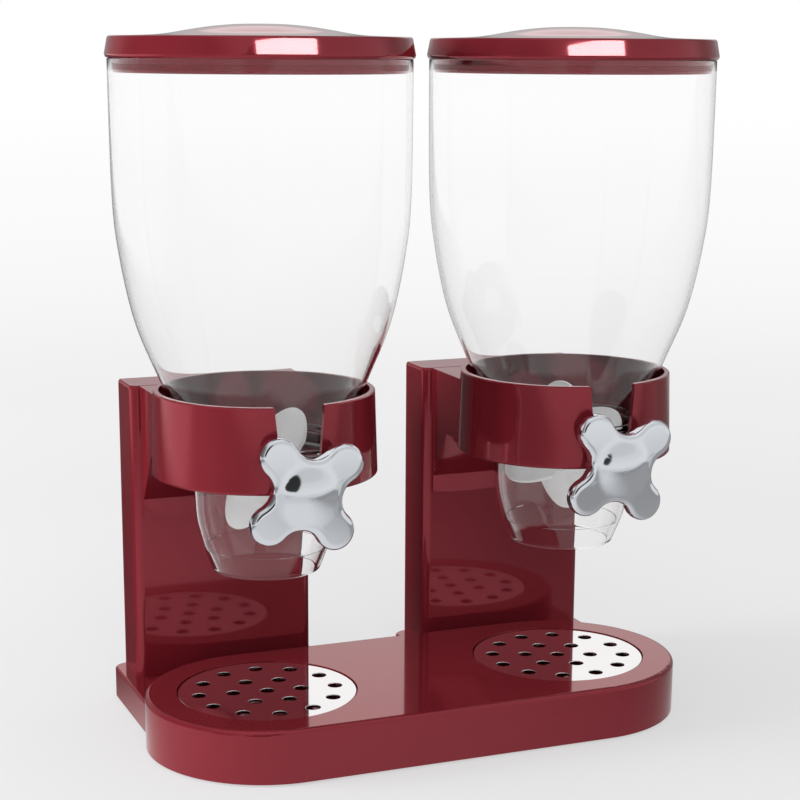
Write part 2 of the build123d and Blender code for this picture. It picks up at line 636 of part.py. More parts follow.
def rear_bush():
    """Blind bush that carries the shaft's inner end."""
    r = SHAFT_R + RUN_GAP
    end = HOUSING_R - REAR_BOSS_SKIN - SEAT_GAP
    cup = rod_y(r + BUSH_WALL, REAR_BOSS_START, end, 0, SHAFT_Z)
    return cup - rod_y(r, REAR_BOSS_START - 1, end - 1.2, 0, SHAFT_Z)


# Rotors
def paddle_wheel(angle):
    """Hub with six flexible blades. Their ends are rounded so that the wheel turns in a ball."""
    root, tip = BLADE_ROOT_T / 2, BLADE_TIP_T / 2
    far = BLADE_REACH + 2
    section = Polyline((HUB_R - 1, -root), (far, -tip), (far, tip), (HUB_R - 1, root), close=True)
    blade = Pos(0, HUB_HALF, 0) * extrude(Plane.XZ * make_face(section), 2 * HUB_HALF)
    blades = None
    for i in range(BLADES):
        turned_blade = Rot(0, -180 - angle - 360 * i / BLADES, 0) * blade
        blades = turned_blade if blades is None else blades + turned_blade
    blades = blades & Sphere(BLADE_REACH)
    wheel = blades + rod_y(HUB_R, -HUB_HALF, HUB_HALF)
    wheel -= rod_y(SHAFT_R + PILOT_GAP, -HUB_HALF - 1, HUB_HALF + 1)
    return Pos(0, 0, SHAFT_Z) * wheel


def clip_y():
    """Front face of the clip's groove, just inside the front bush."""
    return -BUSH_INNER + CLIP_OFF


def drive_shaft():
    """Round shaft from the rear bush to the knob, with a flat for the knob and a clip groove."""
    tip = -KNOB_BACK - KNOB_T + 3.0
    shaft = rod_y(SHAFT_R, tip, HOUSING_R - 3.3)
    shaft = chamfer([e for e in shaft.edges() if e.geom_type == GeomType.CIRCLE], 0.4)
    shaft -= block(-SHAFT_R, SHAFT_R, tip - 1, -KNOB_BOSS_END - 1.0, SHAFT_FLAT, SHAFT_R + 1)
    groove = rod_y(SHAFT_R + 1, clip_y(), clip_y() + CLIP_T + 2 * CLIP_GAP)
    shaft -= groove - rod_y(SHAFT_R - GROOVE_DEPTH, clip_y() - 1, clip_y() + 3)
    return Pos(0, 0, SHAFT_Z) * shaft


def shaft_clip():
    """Open retaining ring in the shaft's groove."""
    y0 = clip_y() + CLIP_GAP
    inner = SHAFT_R - GROOVE_DEPTH + 0.05
    ring = rod_y(CLIP_R, y0, y0 + CLIP_T) - rod_y(inner, y0 - 1, y0 + 2)
    ring -= block(-inner * 0.8, inner * 0.8, y0 - 1, y0 + 2, -CLIP_R - 1, 0)
    return Pos(0, 0, SHAFT_Z) * ring


def lobed_outline(shrink=0.0):
    """Four round lobes joined by hollow arcs, each arc tangent to its two neighbours."""
    at, r, valley = KNOB_LOBE_AT, KNOB_LOBE_R, KNOB_VALLEY_R
    k = cos(pi / 4)
    d = (at * at - (r - valley) ** 2) / (2 * (at * k + r - valley))
    hollow_r = d - valley
    edges = []
    span = hypot(at * k - d, at * sin(pi / 4))
    for i in range(4):
        a = radians(45 + 90 * i + KNOB_TURN)
        tip = Vector(at * cos(a), at * sin(a))
        joints = []
        for side in (-1, 1):
            v = Vector(d * cos(a + side * pi / 4), d * sin(a + side * pi / 4))
            joints.append(tip + (v - tip) * (r / span))
        far = Vector((at + r) * cos(a), (at + r) * sin(a))
        edges.append(ThreePointArc(joints[0], far, joints[1]))
        b = a + pi / 4
        low = Vector(valley * cos(b), valley * sin(b))
        other = Vector(at * cos(a + pi / 2), at * sin(a + pi / 2))
        v = Vector(d * cos(b), d * sin(b))
        edges.append(ThreePointArc(joints[1], low, other + (v - other) * (r / span)))
    face = make_face(edges)
    return offset(face, -shrink) if shrink else face


def knob():
    """Plated knob: four lobes, a domed middle, hollow behind, with a boss for the shaft."""
    body = extrude(lobed_outline(), KNOB_T)
    body = fillet(edges_at(body, KNOB_T), KNOB_EDGE_R)
    body = fillet(edges_at(body, 0), KNOB_BACK_EDGE_R)
    foot = (KNOB_DOME_R, KNOB_T)
    crown = (0, KNOB_T + KNOB_DOME_H)
    half_way = (KNOB_DOME_R * 0.52, KNOB_T + KNOB_DOME_H * 0.58)
    dome = turned(Spline(foot, half_way, crown, tangents=[(-1, 0.05), (-1, 0)]),
                  Polyline(crown, (0, KNOB_T - 1), (KNOB_DOME_R, KNOB_T - 1), foot))
    body += dome
    pocket = extrude(lobed_outline(KNOB_WALL), KNOB_T - KNOB_WALL)
    body -= pocket - rod(KNOB_BOSS_R, -1, KNOB_T)
    boss_l = KNOB_BACK - KNOB_BOSS_END
    body += rod(KNOB_BOSS_R, -boss_l, KNOB_T - 1)
    bore = rod(SHAFT_R + PILOT_GAP, -boss_l - 1, KNOB_T - 2.8)
    bore -= block(-SHAFT_R - 1, SHAFT_R + 1, SHAFT_FLAT + PILOT_GAP, SHAFT_R + 1, -boss_l + 1, KNOB_T)
    body -= bore
    return Pos(0, -KNOB_BACK, SHAFT_Z) * Rot(90, 0, 0) * body


# Lids
def lid_skirt_r():
    """Skirt's radius, clear of the hopper's wall at the skirt's lower edge."""
    return HOPPER_RIM_R - HOPPER_WALL - LID_SKIRT_GAP


def lid():
    """Lid with a flared rim, a low dome and a skirt that fits inside the hopper."""
    w = LID_WALL
    skirt = lid_skirt_r()
    dome_drop = LID_TOP - LID_DOME_FOOT
    dome_curve = (LID_DOME_R ** 2 + dome_drop ** 2) / (2 * dome_drop)
    half = LID_DOME_R / 2
    sag = dome_curve - sqrt(dome_curve ** 2 - half ** 2)
    bend_in = (LID_SHOULDER_R - 3, LID_SHOULDER_Z + 1.6)
    bend = (LID_SHOULDER_R - 0.7, LID_SHOULDER_Z + 0.7)
    bend_out = (LID_SHOULDER_R, LID_SHOULDER_Z - 0.9)
    seal_top = SEAL_BOTTOM + SEAL_H
    groove = skirt - SEAL_DEPTH
    outer = [ThreePointArc((0, LID_TOP), (half, LID_TOP - sag), (LID_DOME_R, LID_DOME_FOOT)),
             Line((LID_DOME_R, LID_DOME_FOOT), bend_in),
             ThreePointArc(bend_in, bend, bend_out),
             Polyline(bend_out, (LID_RIM_R, LID_RIM_STEP), (LID_RIM_R - 0.6, LID_RIM_BOTTOM),
                      (skirt, LID_RIM_BOTTOM), (skirt, seal_top), (groove, seal_top),
                      (groove, SEAL_BOTTOM), (skirt, SEAL_BOTTOM), (skirt, LID_SKIRT_BOTTOM),
                      (skirt - w, LID_SKIRT_BOTTOM), (skirt - w, LID_SHOULDER_Z - 1.4),
                      (LID_DOME_R, LID_DOME_FOOT - w)),
             ThreePointArc((LID_DOME_R, LID_DOME_FOOT - w), (half, LID_TOP - sag - w), (0, LID_TOP - w)),
             Line((0, LID_TOP - w), (0, LID_TOP))]
    return turned(*outer)


def lid_seal():
    """Soft ring in the skirt's groove."""
    inner = lid_skirt_r() - SEAL_DEPTH
    outer = HOPPER_RIM_R - HOPPER_WALL - FIT_GAP
    ring = rod(outer, SEAL_BOTTOM, SEAL_BOTTOM + SEAL_H)
    ring = fillet([e for e in ring.edges() if e.geom_type == GeomType.CIRCLE], 0.4)
    return ring - rod(inner, SEAL_BOTTOM - 1, SEAL_BOTTOM + SEAL_H + 1)


# Write the nodes
def main():
    save("base_shell", base_shell())
    save("base_plate", base_plate())
    save("base_feet", base_feet())
    save("base_plate_screws", base_plate_screws())
    unit = {
        "column_shell": column_shell(),
        "column_cover": column_cover(),
        "column_cover_screws": column_cover_screws(),
        "column_foot_screws": column_foot_screws(),
        "collar": collar(),
        "collar_screws": collar_screws(),
        "hopper": hopper(),
        "neck_gasket": neck_gasket(),
        "housing": housing(),
        "front_bush": front_bush(),
        "rear_bush": rear_bush(),
        "drive_shaft": drive_shaft(),
        "shaft_clip": shaft_clip(),
        "knob": knob(),
        "lid": lid(),
        "lid_seal": lid_seal(),
    }
    for side, x in SIDES:
        save(f"{side}_tray", tray(TRAY_TURN[side]), x)
        save(f"{side}_paddle_wheel", paddle_wheel(BLADE_ANGLE[side]), x)
        for name, shape in unit.items():
            save(f"{side}_{name}", shape, x)


main()
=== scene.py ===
"""Looks of a double cereal dispenser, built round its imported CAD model."""

import json
import math

import bpy
from mathutils import Matrix, Vector


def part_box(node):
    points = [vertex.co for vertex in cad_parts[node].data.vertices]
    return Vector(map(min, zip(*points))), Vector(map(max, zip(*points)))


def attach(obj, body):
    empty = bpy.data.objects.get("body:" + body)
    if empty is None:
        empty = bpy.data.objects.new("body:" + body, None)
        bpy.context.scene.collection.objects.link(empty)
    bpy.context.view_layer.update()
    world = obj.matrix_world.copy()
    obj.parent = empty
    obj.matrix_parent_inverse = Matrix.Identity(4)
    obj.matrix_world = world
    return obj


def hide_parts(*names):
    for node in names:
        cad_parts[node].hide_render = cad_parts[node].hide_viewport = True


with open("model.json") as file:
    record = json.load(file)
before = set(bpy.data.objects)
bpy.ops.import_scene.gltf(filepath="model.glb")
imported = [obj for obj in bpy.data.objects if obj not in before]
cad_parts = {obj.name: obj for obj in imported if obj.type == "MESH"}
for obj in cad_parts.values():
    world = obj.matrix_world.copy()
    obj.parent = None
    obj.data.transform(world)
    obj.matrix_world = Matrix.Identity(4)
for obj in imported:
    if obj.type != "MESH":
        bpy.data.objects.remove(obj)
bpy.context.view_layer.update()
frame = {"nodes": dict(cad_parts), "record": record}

bl_info = {
    "name": "Double cereal dispenser",
    "version": (1, 0, 0),
    "blender": (4, 5, 0),
    "location": "View3D > Sidebar > Dispenser",
    "description": "Dresses the packed dispenser with finished pieces, materials and a studio",
    "category": "Add Mesh",
}

MM = 0.001
BLACK, WHITE = (0, 0, 0, 1), (1, 1, 1, 1)
SIDES = ("left", "right")
SLOTS = {entry["node"]: entry["material_slot"] for entry in frame["record"]["subparts"]}

# Places from the frame, in metres
HOPPER_LOW, HOPPER_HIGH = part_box("left_hopper")
LID_LOW, LID_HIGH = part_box("left_lid")
SEAL_LOW, SEAL_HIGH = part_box("left_lid_seal")
SHAFT_LOW, SHAFT_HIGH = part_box("left_drive_shaft")
KNOB_LOW, KNOB_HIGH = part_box("left_knob")
AXIS_X = -(HOPPER_LOW.x + HOPPER_HIGH.x) / 2      # each hopper axis from the middle
AXIS_Y = (HOPPER_LOW.y + HOPPER_HIGH.y) / 2       # both hopper axes, front to back
SHAFT_Z = (SHAFT_LOW.z + SHAFT_HIGH.z) / 2


# Settings that a user would change

class DispenserSizes(bpy.types.PropertyGroup):
    wall: bpy.props.FloatProperty(
        name="Clear wall", description="Wall of the hoppers", default=2.2 * MM, unit="LENGTH")
    neck: bpy.props.FloatProperty(
        name="Neck radius", description="Outer radius of a hopper's neck", default=46.0 * MM,
        unit="LENGTH")
    lid_dome: bpy.props.FloatProperty(
        name="Lid dome", description="Rise of the dome over the lid's slope", default=4.8 * MM,
        unit="LENGTH")
    lobe_reach: bpy.props.FloatProperty(
        name="Lobe centre", description="Knob axis to the middle of a lobe's tip",
        default=27.5 * MM, unit="LENGTH")
    lobe_radius: bpy.props.FloatProperty(
        name="Lobe radius", description="Radius of a lobe's round tip", default=11.3 * MM,
        unit="LENGTH")
    valley: bpy.props.FloatProperty(
        name="Valley", description="Nearest outline to the knob's axis", default=20.5 * MM,
        unit="LENGTH")
    knob_dome: bpy.props.FloatProperty(
        name="Knob dome", description="Radius of the dome in the middle of a knob",
        default=16.0 * MM, unit="LENGTH")


class DispenserColours(bpy.types.PropertyGroup):
    body: bpy.props.FloatVectorProperty(
        name="Burgundy", description="Gloss plastic of the stand and lids", size=4,
        subtype="COLOR", min=0, max=1, default=(0.215, 0.018, 0.028, 1))
    sheen: bpy.props.FloatVectorProperty(
        name="Burgundy sheen", description="Tint of the flakes at a flat angle", size=4,
        subtype="COLOR", min=0, max=1, default=(0.9, 0.2, 0.25, 1))
    chrome: bpy.props.FloatVectorProperty(
        name="Knob chrome", description="Plating of the knobs", size=4,
        subtype="COLOR", min=0, max=1, default=(0.76, 0.785, 0.83, 1))
    tray: bpy.props.FloatVectorProperty(
        name="Tray chrome", description="Plating of the drip trays", size=4,
        subtype="COLOR", min=0, max=1, default=(0.90, 0.87, 0.87, 1))
    clear: bpy.props.FloatVectorProperty(
        name="Clear plastic", description="Hoppers and housings", size=4,
        subtype="COLOR", min=0, max=1, default=(0.99, 0.99, 0.99, 1))
    blades: bpy.props.FloatVectorProperty(
        name="Blades", description="Translucent silicone of the paddles", size=4,
        subtype="COLOR", min=0, max=1, default=(0.86, 0.87, 0.87, 1))
    floor: bpy.props.FloatVectorProperty(
        name="Floor", description="Floor close to the dispenser", size=4,
        subtype="COLOR", min=0, max=1, default=(0.76, 0.75, 0.77, 1))


def sizes():
    return bpy.context.scene.dispenser_sizes


def colours():
    return bpy.context.scene.dispenser_colours


# Material helpers

def new_material(name):
    """A material with its own node tree; gives its tree and Principled shader too."""
    material = bpy.data.materials.new(name)
    material.use_nodes = True
    tree = material.node_tree
    shader = next(n for n in tree.nodes if n.type == "BSDF_PRINCIPLED")
    return material, tree, shader


def object_noise(tree, scale, detail=3.0, stretch=(1, 1, 1)):
    """Noise on Object coordinates; gives its factor."""
    place = tree.nodes.new("ShaderNodeTexCoord")
    mapping = tree.nodes.new("ShaderNodeMapping")
    mapping.inputs["Scale"].default_value = stretch
    noise = tree.nodes.new("ShaderNodeTexNoise")
    noise.inputs["Scale"].default_value = scale
    noise.inputs["Detail"].default_value = detail
    tree.links.new(place.outputs["Object"], mapping.inputs["Vector"])
    tree.links.new(mapping.outputs["Vector"], noise.inputs["Vector"])
    return noise.outputs["Fac"]


def ranged(tree, value, low, high, from_low=0.0, from_high=1.0, smooth=False):
    """The value mapped from one range to another."""
    node = tree.nodes.new("ShaderNodeMapRange")
    if smooth:
        node.interpolation_type = "SMOOTHSTEP"
    node.inputs["From Min"].default_value = from_low
    node.inputs["From Max"].default_value = from_high
    node.inputs["To Min"].default_value = low
    node.inputs["To Max"].default_value = high
    tree.links.new(value, node.inputs["Value"])
    return node.outputs["Result"]


def bump(tree, shader, height, distance, strength):
    """Fine relief from a height value."""
    node = tree.nodes.new("ShaderNodeBump")
    node.inputs["Strength"].default_value = strength
    node.inputs["Distance"].default_value = distance
    tree.links.new(height, node.inputs["Height"])
    tree.links.new(node.outputs["Normal"], shader.inputs["Normal"])


def mixed_colour(tree, factor, first, second):
    """Two colours mixed by a factor; each is a colour or a socket."""
    node = tree.nodes.new("ShaderNodeMix")
    node.data_type = "RGBA"
    for socket, colour in ((node.inputs[6], first), (node.inputs[7], second)):
        if isinstance(colour, bpy.types.NodeSocket):
            tree.links.new(colour, socket)
        else:
            socket.default_value = colour
    tree.links.new(factor, node.inputs[0])
    return node.outputs[2]


def reckoned(tree, operation, first, second):
    """One sum of two values; the second is a number or a socket."""
    node = tree.nodes.new("ShaderNodeMath")
    node.operation = operation
    tree.links.new(first, node.inputs[0])
    if isinstance(second, bpy.types.NodeSocket):
        tree.links.new(second, node.inputs[1])
    else:
        node.inputs[1].default_value = second
    return node.outputs[0]


def grey_ramp(tree, value, stops):
    """A smooth run of greys along a value from 0 to 1."""
    node = tree.nodes.new("ShaderNodeValToRGB")
    node.color_ramp.interpolation = "EASE"
    marks = node.color_ramp.elements
    while len(marks) < len(stops):
        marks.new(0.5)
    for mark, (place, grey) in zip(marks, stops):
        mark.position = place
        mark.color = (grey, grey, grey, 1)
    tree.links.new(value, node.inputs[0])
    return node.outputs["Color"]


def shade(colour, factor):
    """A colour made lighter or darker."""
    return (*[min(1.0, c * factor) for c in colour[:3]], 1)


# Materials

def burgundy_gloss():
    """Polished moulding: dark red with fine flakes under a clear gloss, and faint orange peel."""
    material, tree, shader = new_material("burgundy_gloss")
    body = tuple(colours().body)
    cloud = object_noise(tree, 14.0)
    tree.links.new(mixed_colour(tree, cloud, shade(body, 0.95), shade(body, 1.05)),
                   shader.inputs["Base Color"])
    shader.inputs["Metallic"].default_value = 0.5
    shader.inputs["Specular Tint"].default_value = tuple(colours().sheen)
    shader.inputs["Coat Weight"].default_value = 1.0
    shader.inputs["Coat IOR"].default_value = 1.29
    shader.inputs["Coat Roughness"].default_value = 0.02
    tree.links.new(ranged(tree, object_noise(tree, 60.0), 0.07, 0.13), shader.inputs["Roughness"])
    bump(tree, shader, object_noise(tree, 220.0, 2.0), distance=0.02 * MM, strength=0.25)
    return material


def burgundy_matte():
    """Textured plastic of the hidden covers."""
    material, tree, shader = new_material("burgundy_matte")
    body = shade(tuple(colours().body), 0.7)
    tree.links.new(mixed_colour(tree, object_noise(tree, 40.0), shade(body, 0.9), shade(body, 1.1)),
                   shader.inputs["Base Color"])
    shader.inputs["Roughness"].default_value = 0.5
    bump(tree, shader, object_noise(tree, 1400.0, 2.0), distance=0.08 * MM, strength=0.6)
    return material


def chrome(name, tint, rough):
    """Bright plating with the faint waviness of what lies under it."""
    material, tree, shader = new_material(name)
    tree.links.new(mixed_colour(tree, object_noise(tree, 30.0), shade(tint, 0.97), shade(tint, 1.02)),
                   shader.inputs["Base Color"])
    shader.inputs["Metallic"].default_value = 1.0
    tree.links.new(ranged(tree, object_noise(tree, 90.0), rough * 0.7, rough * 1.3),
                   shader.inputs["Roughness"])
    bump(tree, shader, object_noise(tree, 45.0, 1.0), distance=0.02 * MM, strength=0.1)
    return material


def clear_plastic():
    """Clear moulded plastic with slight flow waves."""
    material, tree, shader = new_material("clear_plastic")
    shader.inputs["Base Color"].default_value = tuple(colours().clear)
    shader.inputs["Transmission Weight"].default_value = 1.0
    shader.inputs["IOR"].default_value = 1.36
    tree.links.new(ranged(tree, object_noise(tree, 50.0), 0.0, 0.03), shader.inputs["Roughness"])
    flow = object_noise(tree, 12.0, 1.0, (1, 1, 0.35))
    bump(tree, shader, flow, distance=0.2 * MM, strength=0.08)
    return material


def translucent_rubber(name, colour, transmission, rough, painted_glow=0.0):
    """Cloudy silicone; painted_glow is painted light, a faint emission in its own colour that makes it
    look lit where lamplight does not reach.
    """
    material, tree, shader = new_material(name)
    tree.links.new(mixed_colour(tree, object_noise(tree, 70.0), shade(colour, 0.92), shade(colour, 1.04)),
                   shader.inputs["Base Color"])
    shader.inputs["Transmission Weight"].default_value = transmission
    shader.inputs["IOR"].default_value = 1.4
    shader.inputs["Roughness"].default_value = rough
    # Painted glow: emission in the silicone's own colour that stands in for light it does not get.
    shader.inputs["Emission Color"].default_value = colour
    shader.inputs["Emission Strength"].default_value = painted_glow
    bump(tree, shader, object_noise(tree, 500.0, 2.0), distance=0.03 * MM, strength=0.3)
    return material


def rubber(name, colour):
    """Matt rubber with a fine skin."""
    material, tree, shader = new_material(name)
    tree.links.new(mixed_colour(tree, object_noise(tree, 120.0), shade(colour, 0.85), shade(colour, 1.2)),
                   shader.inputs["Base Color"])
    shader.inputs["Roughness"].default_value = 0.6
    bump(tree, shader, object_noise(tree, 900.0, 3.0), distance=0.06 * MM, strength=0.6)
    return material


def turned_steel(name, colour, rough):
    """Steel with fine lines round its axis."""
    material, tree, shader = new_material(name)
    lines = object_noise(tree, 260.0, 2.0, (0.15, 6, 0.15))
    tree.links.new(mixed_colour(tree, lines, shade(colour, 0.85), shade(colour, 1.1)),
                   shader.inputs["Base Color"])
    shader.inputs["Metallic"].default_value = 1.0
    tree.links.new(ranged(tree, lines, rough * 0.8, rough * 1.3), shader.inputs["Roughness"])
    bump(tree, shader, lines, distance=0.02 * MM, strength=0.4)
    return material


MATERIALS = {}
FOOT_BLACK = (0.03, 0.03, 0.03, 1)
SEAL_RED = (0.26, 0.008, 0.014, 1)
SCREW_GREY, SHAFT_GREY = (0.55, 0.56, 0.58, 1), (0.6, 0.61, 0.63, 1)
GASKET_WHITE, NYLON_WHITE = (0.85, 0.85, 0.85, 1), (0.8, 0.8, 0.78, 1)


def material_for(slot):
    """The finish of a record slot, made once."""
    makers = {
        "burgundy_gloss": burgundy_gloss,
        "burgundy_matte": burgundy_matte,
        "foot_rubber": lambda: rubber(slot, FOOT_BLACK),
        "seal_rubber": lambda: rubber(slot, SEAL_RED),
        "screw_steel": lambda: turned_steel(slot, SCREW_GREY, rough=0.3),
        "shaft_steel": lambda: turned_steel(slot, SHAFT_GREY, rough=0.2),
        "tray_chrome": lambda: chrome(slot, tuple(colours().tray), rough=0.05),
        "knob_chrome": lambda: chrome(slot, tuple(colours().chrome), rough=0.09),
        "clear_plastic": clear_plastic,
        "gasket_silicone": lambda: translucent_rubber(
            slot, GASKET_WHITE, transmission=0.3, rough=0.4),
        "bush_nylon": lambda: translucent_rubber(slot, NYLON_WHITE, transmission=0.1, rough=0.35),
        # The paddles get a painted glow, emission that makes them look pale and lit inside the clear
        # housing.
        "paddle_silicone": lambda: translucent_rubber(
            slot, tuple(colours().blades), transmission=0.25, rough=0.3, painted_glow=0.15),
    }
    if slot not in MATERIALS:
        MATERIALS[slot] = makers[slot]()
    return MATERIALS[slot]


def dress(*nodes):
    """Gives CAD nodes whose shape stays the finish of their slot."""
    for name in nodes:
        node = frame["nodes"][name]
        node.data.materials.clear()
        node.data.materials.append(material_for(SLOTS[name]))


def dress_pairs(*parts):
    """The same for pieces that both units have."""
    for side in SIDES:
        dress(*[f"{side}_{part}" for part in parts])


# Shaping tools

SAME_PLACE = 0.002 * MM        # points nearer than this are one
POLE = 0.4 * MM                # small open ring that close_poles draws together


def begin(piece=None):
    """Object mode with only this piece selected, or none."""
    if bpy.context.object and bpy.context.object.mode != "OBJECT":
        bpy.ops.object.mode_set(mode="OBJECT")
    bpy.ops.object.select_all(action="DESELECT")
    if piece:
        piece.select_set(True)
        bpy.context.view_layer.objects.active = piece


def smooth(piece, degrees):
    """Smooth shading, with the edges sharper than an angle left as edges."""
    begin(piece)
    bpy.ops.object.shade_smooth_by_angle(angle=math.radians(degrees))


def finish_piece(piece, name, body, *nodes):
    """Names a piece, gives it its finish and body, and lets it stand for CAD nodes."""
    slot = SLOTS[nodes[0]]
    piece.name = name
    piece.data.name = name
    piece.data.materials.clear()
    piece.data.materials.append(material_for(slot))
    begin(piece)
    bpy.ops.object.transform_apply(location=True, rotation=True, scale=True)
    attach(piece, body)
    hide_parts(*nodes)


def pair_of(piece):
    """The left unit's piece and a copy of it, with its own mesh, at the right unit."""
    twin = piece.copy()
    twin.data = piece.data.copy()
    bpy.context.scene.collection.objects.link(twin)
    twin.data.transform(Matrix.Translation((2 * AXIS_X, 0, 0)))
    return zip((piece, twin), SIDES)


def lathe(profile, segments):
    """Draws a circle up, ring by ring, along radius and height pairs about the left axis."""
    begin()
    x, y = -AXIS_X, AXIS_Y
    radius, height = profile[0]
    bpy.ops.mesh.primitive_circle_add(vertices=segments, radius=radius, location=(x, y, height))
    piece = bpy.context.object
    bpy.ops.object.mode_set(mode="EDIT")
    for next_radius, next_height in profile[1:]:
        bpy.ops.mesh.extrude_region_move(
            TRANSFORM_OT_translate={"value": (0, 0, next_height - height)})
        ratio = next_radius / radius
        bpy.ops.transform.resize(value=(ratio, ratio, 1), center_override=(x, y, next_height))
        radius, height = next_radius, next_height
    bpy.ops.mesh.select_all(action="SELECT")
    bpy.ops.mesh.remove_doubles(threshold=SAME_PLACE)
    bpy.ops.mesh.normals_make_consistent(inside=False)
    bpy.ops.object.mode_set(mode="OBJECT")
    return piece


def close_poles(piece):
    """Draws each open end ring of a turned piece together into one point."""
    begin(piece)
    bpy.ops.object.mode_set(mode="EDIT")
    bpy.ops.mesh.select_all(action="DESELECT")
    bpy.ops.mesh.select_mode(type="VERT")
    bpy.ops.mesh.select_non_manifold()
    bpy.ops.mesh.merge(type="COLLAPSE")
    bpy.ops.mesh.select_all(action="SELECT")
    bpy.ops.mesh.normals_make_consistent(inside=False)
    bpy.ops.object.mode_set(mode="OBJECT")


def smooth_line(points, steps):
    """Points along a Catmull-Rom curve through radius and height pairs."""
    ends = [Vector(p) for p in (points[0], *points, points[-1])]
    out = []
    for i in range(1, len(ends) - 2):
        p0, p1, p2, p3 = ends[i - 1:i + 3]
        for k in range(steps):
            t = k / steps
            out.append(0.5 * (2 * p1 + (p2 - p0) * t + (2 * p0 - 5 * p1 + 4 * p2 - p3) * t * t
                              + (3 * p1 - p0 - 3 * p2 + p3) * t ** 3))
    return out + [Vector(points[-1])]


def wall_of(line, thickness):
    """The same line moved inwards by a wall's thickness, square to the line."""
    out = []
    for i, point in enumerate(line):
        along = (line[min(len(line) - 1, i + 1)] - line[max(0, i - 1)]).normalized()
        out.append(point + Vector((along.y, -along.x)) * thickness)
    return out


def round_corner(before, corner, after, radius, steps=5):
    """A corner of a profile, rounded by a run of points on a quadratic bend."""
    corner = Vector(corner)
    start = corner + (Vector(before) - corner).normalized() * radius
    end = corner + (Vector(after) - corner).normalized() * radius
    shares = [k / steps for k in range(steps + 1)]
    return [start * (1 - t) ** 2 + corner * (2 * t * (1 - t)) + end * t * t for t in shares]


def rounded(points, radii):
    """An open profile whose inner corners are rounded, each by its own radius."""
    line = [Vector(points[0])]
    for i in range(1, len(points) - 1):
        if radii[i - 1]:
            line += round_corner(points[i - 1], points[i], points[i + 1], radii[i - 1])
        else:
            line.append(Vector(points[i]))
    return line + [Vector(points[-1])]


# Stage. A fade is two greys, and the two places on an axis that it runs between.

CAMERA_PLACE = Vector((-0.4406, -1.0523 + AXIS_Y, 0.4167))
CAMERA_TURN = math.radians(-22.15)
CAMERA_DOWN = math.radians(12.81)
CAMERA_ROLL = math.radians(0.327)
CAMERA_LENS, CAMERA_SENSOR = 85.384, 36           # millimetres
CAMERA_SHIFT = 0.1
CAMERA_REACH = 200                                # metres

EVEN_LIGHT = 0.55                                 # strength of the light from all round
# Soft boxes that light surfaces: name, place, aim, width and height, watts
LAMPS = (("front", (-0.6, -1.9, 1.15), (0, 0, 0.25), (1.2, 0.8), 16),
         ("left", (-2.1, 0.4, 0.7), (0, 0, 0.2), (1.0, 1.0), 62),
         ("top", (0.0, -0.2, 2.2), (0, 0, 0.2), (1.6, 1.6), 11))
# Window that only shows in the gloss of the lids
WINDOW = ("window", (-0.078, -1.045, 0.815), (-0.078, -0.1, 0.417), (0.84, 0.2), 14)
WINDOW_COLOUR = (0.5, 1.0, 0.88)
WINDOW_SHOWS_IN = "window_shows_in"

# What gloss shows of the sky: greys against height, darker on the left, behind and at a card
MIRRORED_SKY = ((0.0, 0.85), (0.20, 0.78), (0.37, 0.68), (0.60, 0.66), (0.85, 0.85), (1.0, 1.0))
SKY_LEFT, SKY_BEHIND = (0.3, 1.0, -0.8, -0.5), (1.0, 0.4, -0.2, 0.2)
CARD = ((-0.285, -0.915, 0.225), 20, 12, 60)      # towards, half sizes and slant in degrees
CARD_EDGE = (0.04, 1.0, 0.75, 1.25)
# What it shows at the back on the right: greys against height, where both fades are high
MIRRORED_BACK = ((0.0, 0.20), (0.12, 0.50), (0.20, 0.60), (0.27, 1.0), (0.37, 1.0), (0.45, 0.40))
BACK_RIGHT = ((0.0, 1.0, -0.05, 0.15), (0.0, 1.0, 0.5, 0.8))

FLOOR_RADIUS, FLOOR_FACES = 40.0, 96
FLOOR_ROUGH = 0.9
FLOOR_SHADING_OUT = (0.7, 1.0, 0.3, 2.5)          # share of plain backdrop, against the distance
BACKDROP = ((0.13, 0.78), (0.21, 0.80), (0.375, 0.852), (0.53, 0.905), (0.674, 0.93),
            (0.81, 0.962), (0.94, 1.0))           # greys against r / (r + 1), r in metres
# What gloss shows of the floor: greys from front to back over a stretch of Y
FLOOR_STRETCH = (0.0, 1.0, -2.0, 2.0)
MIRRORED_FLOOR = ((0.0, 0.85), (0.15, 0.80), (0.25, 0.72), (0.30, 0.68), (0.36, 0.72), (0.40, 0.80),
                  (0.475, 0.80), (0.54, 0.50), (0.625, 0.42), (0.75, 0.90), (0.95, 0.97))
# Darker parts of it, each the lighter of a fade along X and one along Y
BACK_LEFT = ((0.08, 1.0, -0.05, 0.35), (1.0, 0.0, 0.0, 0.2))
FAR_LEFT = ((0.4, 1.0, -0.9, -0.4), (1.0, 0.0, -1.5, -0.8))
NEAR_RIGHT = ((1.0, 0.46, -0.06, 0.28), (1.0, 0.0, -0.9, -0.5))
# Light strip far on the left, where both fades are high
STRIP = ((1.0, 0.0, -1.1, -0.7), (0.0, 1.0, -0.1, 0.3))
STRIP_COLOUR = (0.9, 0.9, 0.9, 1)


